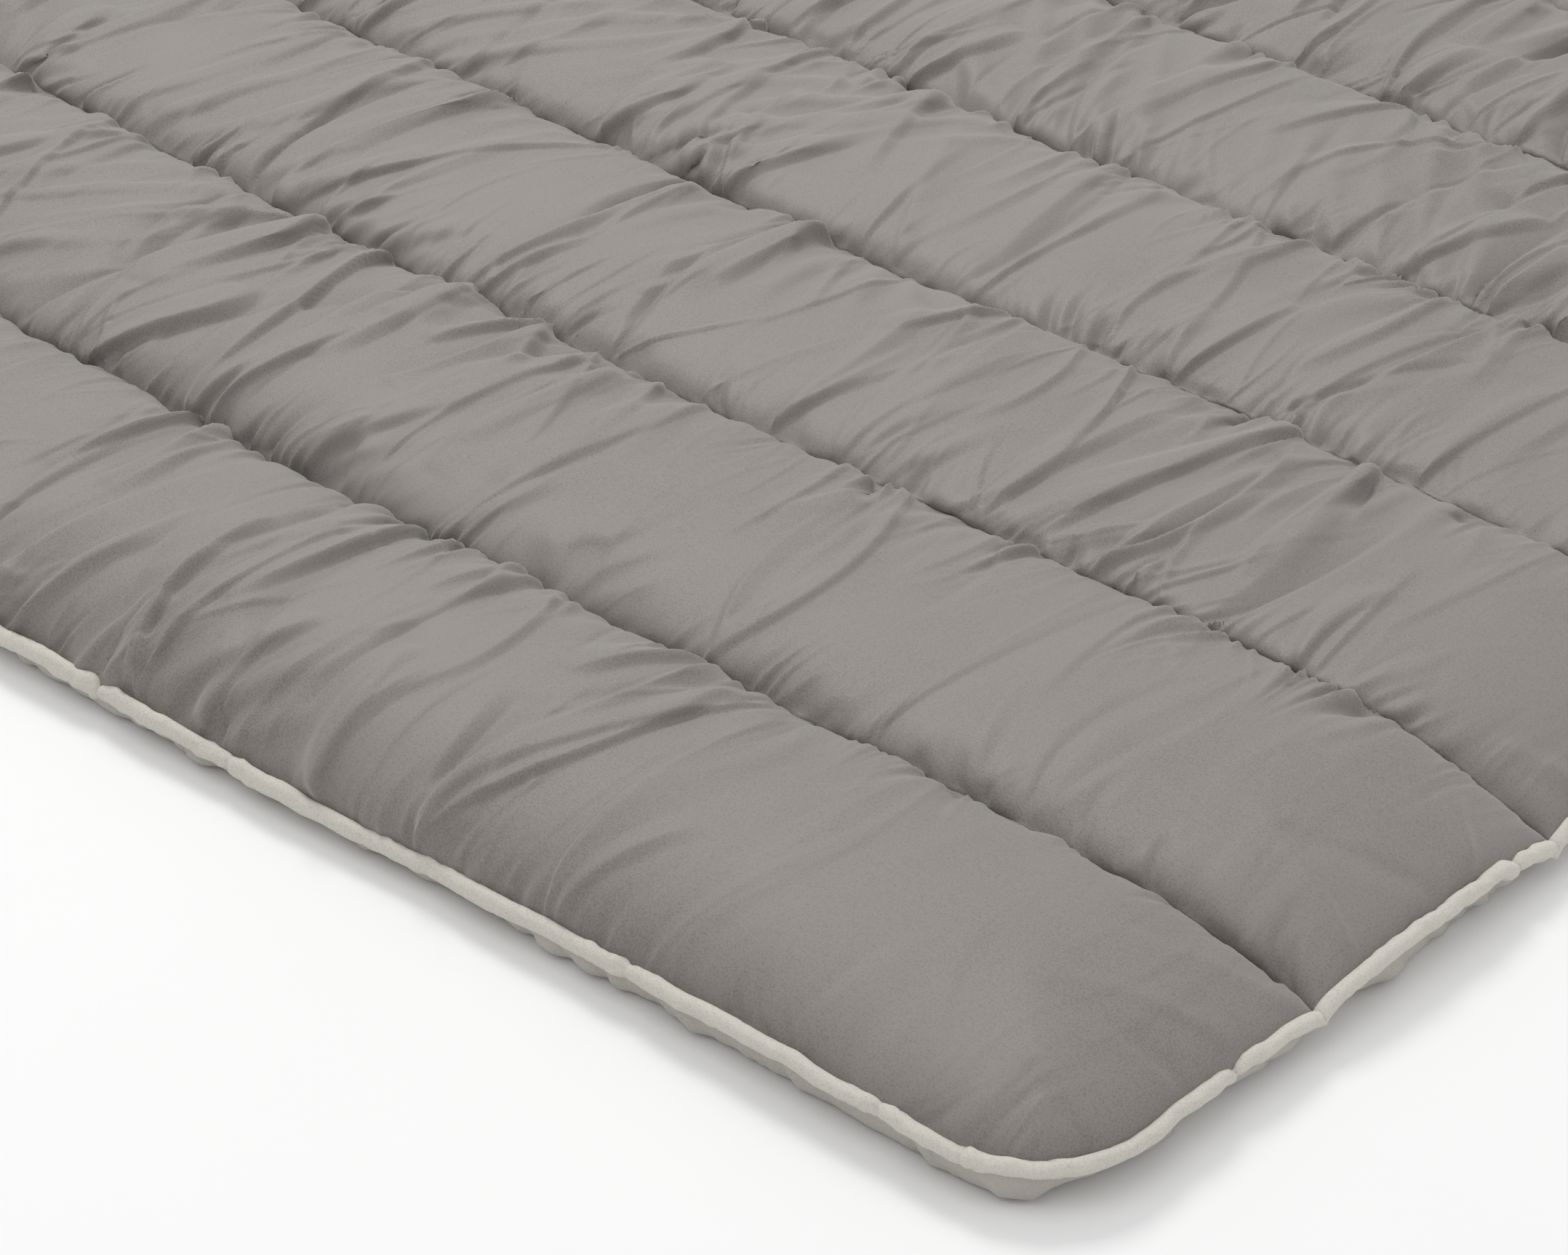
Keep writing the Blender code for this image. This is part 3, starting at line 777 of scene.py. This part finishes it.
def bump_by(nodes, links, shader, height, strength, depth):
    """Bumps the shader's surface by height."""
    bump = nodes.new("ShaderNodeBump")
    bump.inputs["Strength"].default_value = strength
    bump.inputs["Distance"].default_value = depth
    links.new(height, bump.inputs["Height"])
    links.new(bump.outputs["Normal"], shader.inputs["Normal"])


def fabric(name, dark, light, roughness, sheen, weave, depth):
    """Woven cloth: a fine weave and grain in the bump, and slow changes of tone."""
    made, nodes, links, shader = principled(name, roughness)
    shader.inputs["Sheen Weight"].default_value = sheen
    shader.inputs["Sheen Roughness"].default_value = 0.5
    place = nodes.new("ShaderNodeTexCoord").outputs["Object"]
    slow = noise(nodes, links, place, scale=9, detail=4)
    grain = noise(nodes, links, place, scale=900, detail=2)
    tone = combine(nodes, links, "MULTIPLY_ADD", slow, 0.4, grain)
    colour_by(nodes, links, shader, tone, dark, light, positions=(0.40, 0.76))
    threads = []
    for scale in ((0.15, 1, 1), (1, 0.15, 1)):
        threads.append(noise(nodes, links, stretched(nodes, links, place, scale), 1 / weave, detail=1))
    height = combine(nodes, links, "ADD", combine(nodes, links, "MULTIPLY", *threads), grain)
    bump_by(nodes, links, shader, height, 0.35, depth)
    return made


def speckled(name, colour, roughness, metallic=0.0, scale=400, depth=0.0001, contrast=0.12):
    """Moulded, felted or metal surface with a fine random grain."""
    made, nodes, links, shader = principled(name, roughness)
    shader.inputs["Metallic"].default_value = metallic
    place = nodes.new("ShaderNodeTexCoord").outputs["Object"]
    grain = noise(nodes, links, place, scale, detail=5)
    dark = [part * (1 - contrast) for part in colour]
    light = [min(part * (1 + contrast), 1) for part in colour]
    colour_by(nodes, links, shader, grain, dark, light)
    bump_by(nodes, links, shader, grain, 0.5, depth)
    return made


# The filled channels

def make_channels(finish):
    with ThreadPoolExecutor(4) as pool:
        cloths = list(pool.map(channel_cloth, range(1, CHANNELS + 1)))
    for number, cloth in enumerate(cloths, 1):
        obj = add_object(f"filled_channel_{number}", grid_mesh("channel", channel_grid(cloth, number), True))
        close_ends(obj)
        obj.data.materials.append(finish)
        nodes = [f"batting_pad_{number}"]
        if number == 1:
            nodes.append("top_cover_front")
        if number == CHANNELS:
            nodes.append("top_cover_back")
        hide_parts(*nodes)
        attach(obj, number)


# The piping

def outline(inset, step):
    """Points round the inset outline, evenly spaced, the way out of it at each, and its length."""
    radius = CORNER_RADIUS - inset
    long_side = LENGTH - 2 * CORNER_RADIUS
    short_side = WIDTH - 2 * CORNER_RADIUS
    quarter = math.pi / 2 * radius
    total = 2 * (long_side + short_side) + 4 * quarter
    corner = Vector((HALF_LENGTH - CORNER_RADIUS, HALF_WIDTH - CORNER_RADIUS))
    stretches = []
    for turn, (sx, sy) in enumerate(((1, 1), (-1, 1), (-1, -1), (1, -1))):
        length = short_side if turn % 2 == 0 else long_side
        stretches.append((turn * math.pi / 2, Vector((sx * corner.x, sy * corner.y)), length))
    count = round(total / step)
    points, ways = [], []
    for index in range(count):
        at = total * index / count
        for angle, centre, length in stretches:
            way = Vector((math.cos(angle), math.sin(angle)))
            run = Vector((-way.y, way.x))
            if at < length:
                points.append(centre - run * (length - at) + way * radius)
                ways.append(way)
                break
            at -= length
            if at < quarter:
                turned = angle + at / radius
                way = Vector((math.cos(turned), math.sin(turned)))
                points.append(centre + way * radius)
                ways.append(way)
                break
            at -= quarter
    return np.array(points), np.array(ways), total


def kinks(count, total):
    """Where folds of the cover pull on the piping: the dip there, nearness to it, and a knot beside it."""
    rng = np.random.default_rng(KINK_SEED)
    at = np.arange(count) / count * total
    places = np.cumsum(rng.uniform(*KINK_GAPS, int(total / 0.08)))
    dips, near, knots = np.zeros((3, count))
    for place, depth in zip(places[places < total], rng.uniform(0.2, 1, len(places)), strict=False):
        away = at - place
        side = rng.choice((-1, 1))
        dips += depth * np.exp(-np.abs(away) / 0.010)
        near += depth * np.exp(-((away / 0.022) ** 2))
        knots += depth * np.exp(-(((away - side * 0.007) / 0.0045) ** 2))
        knots -= depth * 1.6 * np.exp(-((away / 0.002) ** 2))
    return dips, near, knots


def piping_centres(points, ways, total, dips, tall):
    """The middle line of the piping, which wanders a little and dips where folds pull on it."""
    count = len(points)
    out = loop_waves(count, total, PIPING_SEED, (0.0012, 0.09), (0.0004, 0.014))
    up = loop_waves(count, total, PIPING_SEED + 2, (0.0014, 0.12), (0.0004, 0.017))
    centres = np.empty((count, 3))
    centres[:, :2] = points + ways * (out + 0.0006 - 0.0040 * dips)[:, None]
    centres[:, 2] = edge_z(points[:, 0], points[:, 1]) + up - 0.0034 * dips
    centres[:, 2] = np.maximum(centres[:, 2], tall * PIPING_RADIUS + BACKING_THICKNESS)
    return centres


def piping_radii(count, total, turn, dips, near, knots):
    """Radius of the piping at each point and each angle round it, drawn in and creased at the kinks."""
    curves = np.stack([loop_wander(count, total, 0.0075, CREASE_SEED + order) for order in range(4)], 1)
    creases = np.empty((count, len(turn)))
    for index, angle in enumerate(turn):
        weights = np.array([1, math.cos(angle), math.sin(angle), math.cos(2 * angle)])
        creases[:, index] = np.abs(np.roll(curves, round(3 * math.sin(angle + 1)), 0) @ weights) - 0.8
    tight = 0.98 - 0.16 * dips + 0.22 * knots + 0.05 * loop_wander(count, total, 0.05, PIPING_SEED + 4)
    return PIPING_RADIUS * (tight[:, None] + creases * (0.05 + 0.13 * near)[:, None])


def make_piping(finish):
    """The fabric-covered cord round the edge, kinked and creased as a sewn-on welt is."""
    points, ways, total = outline(PIPING_RADIUS, PIPING_STEP)
    count = len(points)
    dips, near, knots = kinks(count, total)
    tall = between(*PIPING_HEIGHTS, smooth_step(*PIPING_HEIGHT_REACH, from_ends(points[:, 0])))
    centres = piping_centres(points, ways, total, dips, tall)
    along = np.roll(centres, -1, 0) - np.roll(centres, 1, 0)
    along /= np.linalg.norm(along, axis=1)[:, None]
    side = np.cross(along, (0, 0, 1.0))
    side /= np.linalg.norm(side, axis=1)[:, None]
    top = tall[:, None] * np.cross(side, along)
    turn = np.arange(PIPING_SIDES) / PIPING_SIDES * 2 * math.pi
    ring = side[:, None] * np.cos(turn)[None, :, None] + top[:, None] * np.sin(turn)[None, :, None]
    tube = centres[:, None] + ring * piping_radii(count, total, turn, dips, near, knots)[..., None]
    tube = np.concatenate([tube, tube[:1]], 0)
    obj = add_object("edge_piping", grid_mesh("piping", bow(tube), True))
    obj.data.materials.append(finish)
    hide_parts("piping_front", "piping_back", "piping_cord_front", "piping_cord_back")
    attach(obj)


# The backing

def rim_inset(share, width):
    """The backing's inset where it curves up to the piping; share is 0 at the piping."""
    return RIM_OUT + width * (1 - np.sin(np.clip(1 - share, 0, 1) * math.pi / 2))


def rim_height(share, top):
    """Its height there, up to top at the piping."""
    turn = np.clip(1 - share, 0, 1) * math.pi / 2
    return BACKING_THICKNESS + (top - BACKING_THICKNESS) * (1 - np.cos(turn))


def outward(x, y):
    """The way out of the rounded outline at points beside it."""
    past_x = np.maximum(np.abs(x) - (HALF_LENGTH - CORNER_RADIUS), 0)
    past_y = np.maximum(np.abs(y) - (HALF_WIDTH - CORNER_RADIUS), 0)
    size = np.maximum(np.hypot(past_x, past_y), 1e-9)
    return np.sign(x) * past_x / size, np.sign(y) * past_y / size


def backing_places(inlet_y, opening):
    """The backing's grid: X and Y of its points, and share, 0 at the piping and 1 on the floor."""
    rim = np.linspace(0, 1, RIM_POINTS)
    count_x, count_y = BACKING_POINTS
    end_turn, side_turn = RIM_TURNS
    end, edge = HALF_LENGTH - RIM_OUT - end_turn, HALF_WIDTH - RIM_OUT - side_turn
    x = np.linspace(-end, end, count_x)
    y = np.sort(np.concatenate([np.linspace(-edge, edge, count_y), [inlet_y - opening, inlet_y + opening]]))
    x = np.concatenate([-end + rim[:-1] - 1, x, end + 1 - rim[-2::-1]])
    y = np.concatenate([-edge + rim[:-1] - 1, y, edge + 1 - rim[-2::-1]])
    grid_x, grid_y = np.meshgrid(x, y, indexing="ij")
    share = 1 - np.clip(np.maximum(np.abs(grid_x) - end, np.abs(grid_y) - edge), 0, 1)
    flat_x, flat_y = np.clip(grid_x, -end, end), np.clip(grid_y, -edge, edge)
    from_inlet = np.abs(flat_y - inlet_y) - opening
    turn_x = between(side_turn, end_turn, smooth_step(0.01, 0.06, from_inlet))
    out_x = np.sign(flat_x) * (HALF_LENGTH - rim_inset(share, turn_x))
    out_y = np.sign(flat_y) * (HALF_WIDTH - rim_inset(share, side_turn))
    place_x = np.where(np.abs(flat_x) >= end - 1e-9, out_x, flat_x)
    place_y = np.where(np.abs(flat_y) >= edge - 1e-9, out_y, flat_y)
    return *round_corner(place_x, place_y, 0.0), share


def backing_height(x, y, share):
    """Height of the backing, with a groove under every seam."""
    rise = np.maximum(edge_z(x, y), PIPING_RADIUS + BACKING_THICKNESS)
    puckers = blur(np.random.default_rng(PUCKER_SEED).normal(0, 1, x.shape), 1.6, 1.6)
    near_seam = np.exp(-((np.abs((y / PITCH + 0.5) % 1 - 0.5) * PITCH / 0.009) ** 2))
    groove = SEAM_GROOVE * near_seam * (0.8 + 0.2 * np.clip(puckers, -1, 1))
    return rim_height(share, rise - 0.001) + np.where(share >= 1, groove, 0)


def rim_folds(x, y, z, share):
    """How far the backing's turned-up rim bulges outwards, in small folds."""
    run = np.abs(x) - np.abs(y) + 0.3 * x + 0.2 * y + 0.8 * z
    fold = np.abs(wander(run, 0.011, RIM_SEED)) - 0.8 + 0.5 * wander(run, 0.030, RIM_SEED + 1)
    return RIM_FOLD * fold * np.sin(math.pi * np.clip(share, 0, 1))


def cut_inlet_opening(obj, inlet_y, opening):
    """Takes out the faces in front of the inlet, and joins the points that meet at the corners."""
    bm = bmesh.new()
    bm.from_mesh(obj.data)
    bmesh.ops.remove_doubles(bm, verts=bm.verts, dist=1e-5)
    gone = []
    for face in bm.faces:
        middle = face.calc_center_median()
        beside = abs(middle.y - inlet_y) < opening and middle.x < 0.01 - HALF_LENGTH
        if beside and INLET_LOW.z - INLET_ROOM < middle.z < INLET_HIGH.z + INLET_ROOM:
            gone.append(face)
    bmesh.ops.delete(bm, geom=gone, context="FACES")
    bm.to_mesh(obj.data)
    bm.free()


def make_backing(finish):
    """The pale sheet under the blanket, turned up to the piping round the edge."""
    inlet_y = (INLET_LOW.y + INLET_HIGH.y) / 2
    opening = (INLET_HIGH.y - INLET_LOW.y) / 2 + INLET_ROOM
    x, y, share = backing_places(inlet_y, opening)
    z = backing_height(x, y, share)
    bulge = rim_folds(x, y, z, share)
    way_x, way_y = outward(x, y)
    grid = np.stack([x + way_x * bulge, y + way_y * bulge, np.maximum(z, BACKING_THICKNESS)], -1)
    obj = add_object("backing_sheet", grid_mesh("backing", bow(grid)))
    cut_inlet_opening(obj, inlet_y, opening)
    solid = obj.modifiers.new("Thickness", "SOLIDIFY")
    solid.thickness = BACKING_THICKNESS
    solid.offset = -1
    obj.data.materials.append(finish)
    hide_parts("backing_front", "backing_back")
    attach(obj)


# The stitches

def make_stitches(finish):
    """Lockstitches along every seam, each a small rounded bar lying on the cover."""
    wide, tall = STITCH_HALF
    sides = np.array(((0, tall), (wide, 0), (0, -tall), (-wide, 0)))
    middles = np.arange(STITCH_START - HALF_LENGTH, HALF_LENGTH - STITCH_START, STITCH_PITCH)
    for seam in range(1, CHANNELS):
        side, up = seam_wander(middles, seam)
        rings = []
        for share, thick in STITCH_RINGS:
            ring = np.empty((len(middles), 4, 3))
            ring[..., 0] = (middles + share * STITCH_LENGTH / 2)[:, None]
            ring[..., 1] = (seam_y(seam) + side)[:, None] + sides[None, :, 0] * thick
            middle_z = seam_z(middles, seam_y(seam)) + up
            ring[..., 2] = middle_z[:, None] + STITCH_RISE + sides[None, :, 1] * thick
            rings.append(ring)
        obj = add_object(f"stitch_line_{seam}", bars_mesh(bow(np.stack(rings, 1))))
        obj.data.materials.append(finish)
        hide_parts(f"seam_thread_{seam}")
        attach(obj, seam + 0.5)


# The pieces carried over from the CAD

def paint_cad():
    """Every CAD node that still shows gets its finish."""
    finishes = {
        "heater_felt": speckled("felt_finish", (0.42, 0.42, 0.41), 0.95, scale=700, depth=0.0004),
        "reflective_foil": speckled("foil_finish", (0.80, 0.80, 0.82), 0.3, 1.0, scale=60),
        "supply_ribbon": speckled("ribbon_finish", (0.70, 0.70, 0.68), 0.6),
        "inlet_ribbon": speckled("inlet_ribbon_finish", (0.70, 0.70, 0.68), 0.6),
        "sensor_lead": speckled("lead_finish", (0.70, 0.70, 0.68), 0.6),
        "temperature_sensor": speckled("epoxy_finish", (0.02, 0.02, 0.02), 0.5),
        "thermal_cutout": speckled("can_finish", (0.75, 0.75, 0.76), 0.35, 1.0),
        "heating_element": speckled("element_finish", (0.03, 0.03, 0.03), 0.6, scale=1200),
        "inlet_housing": speckled("housing_finish", (0.04, 0.04, 0.045), 0.5),
        "inlet_pin": speckled("pin_finish", (0.80, 0.62, 0.30), 0.3, 1.0, contrast=0.05),
    }
    for name, node in frame["nodes"].items():
        for start, finish in finishes.items():
            if name.startswith(start):
                node.data.materials.clear()
                node.data.materials.append(finish)


# The studio

CAMERA_PLACE = Vector((1.832, -2.000, 1.328))
CAMERA_YAW = -42.5  # degrees, and so are the next two
CAMERA_ELEVATION = 33.05
CAMERA_ROLL = -0.54
LENS = 100.2  # millimetres
WORLD_LIGHT = 0.65
WARM = (1, 0.99, 0.97)
COOL = (0.98, 0.985, 1)
FLOOR_SIZE = 40
FLOOR_Z = -0.0004  # just under the blanket


def make_camera():
    data = bpy.data.cameras.new("camera")
    data.lens = LENS
    data.sensor_width = 36
    camera = bpy.data.objects.new("camera", data)
    bpy.context.scene.collection.objects.link(camera)
    yaw, elevation = math.radians(CAMERA_YAW), math.radians(CAMERA_ELEVATION)
    level = math.cos(elevation)
    look = Vector((math.sin(yaw) * level, math.cos(yaw) * level, -math.sin(elevation)))
    camera.rotation_mode = "QUATERNION"
    turn = look.to_track_quat("-Z", "Y")
    camera.rotation_quaternion = Quaternion(look, math.radians(CAMERA_ROLL)) @ turn
    camera.location = CAMERA_PLACE
    bpy.context.scene.camera = camera


def make_light(name, place, target, size, power, colour):
    """A square soft light that faces its target."""
    data = bpy.data.lights.new(name, "AREA")
    data.shape = "RECTANGLE"
    data.size = data.size_y = size
    data.energy = power
    data.color = colour
    light = bpy.data.objects.new(name, data)
    bpy.context.scene.collection.objects.link(light)
    light.location = place
    light.rotation_mode = "QUATERNION"
    light.rotation_quaternion = (Vector(target) - Vector(place)).to_track_quat("-Z", "Y")


def make_studio():
    world = bpy.data.worlds.new("studio")
    world.use_nodes = True
    sky = world.node_tree.nodes["Background"]
    sky.inputs["Color"].default_value = (1, 1, 1, 1)
    sky.inputs["Strength"].default_value = WORLD_LIGHT
    bpy.context.scene.world = world
    make_light("key", (-1.5, 0.8, 3.0), (0.2, -0.2, 0), size=1.3, power=58, colour=WARM)
    make_light("fill", (0.6, -1.9, 3.0), (0.3, -0.3, 0), size=2.5, power=21, colour=COOL)
    make_light("side", (2.9, 0.6, 1.9), (0.9, -0.2, 0), size=2.0, power=9, colour=COOL)
    bpy.ops.mesh.primitive_plane_add(size=FLOOR_SIZE, location=(0, 0, FLOOR_Z))
    floor = bpy.context.active_object
    floor.name = "floor"
    paper = speckled("floor_paper", (0.87, 0.87, 0.87), 0.9, scale=6, depth=0.0, contrast=0.01)
    floor.data.materials.append(paper)
    bpy.context.scene.view_settings.view_transform = "Standard"


def main():
    make_camera()
    make_studio()
    colours = (0.140, 0.126, 0.115), (0.210, 0.189, 0.174)
    cover = fabric("cover_cloth", *colours, roughness=0.58, sheen=0.3, weave=0.0006, depth=0.0003)
    # Backing colours: its own greyish tone, darkened further as painted shade for the rim that lies in shade
    # under the piping
    colours = (0.34, 0.32, 0.285), (0.43, 0.405, 0.365)
    backing = fabric("backing_cloth", *colours, roughness=0.85, sheen=0.1, weave=0.0009, depth=0.0003)
    colours = (0.47, 0.445, 0.395), (0.58, 0.555, 0.50)
    piping = fabric("piping_cloth", *colours, roughness=0.8, sheen=0.15, weave=0.0007, depth=0.0002)
    make_channels(cover)
    make_piping(piping)
    make_backing(backing)
    make_stitches(speckled("thread_finish", (0.22, 0.205, 0.19), 0.8, scale=1500))
    paint_cad()


main()
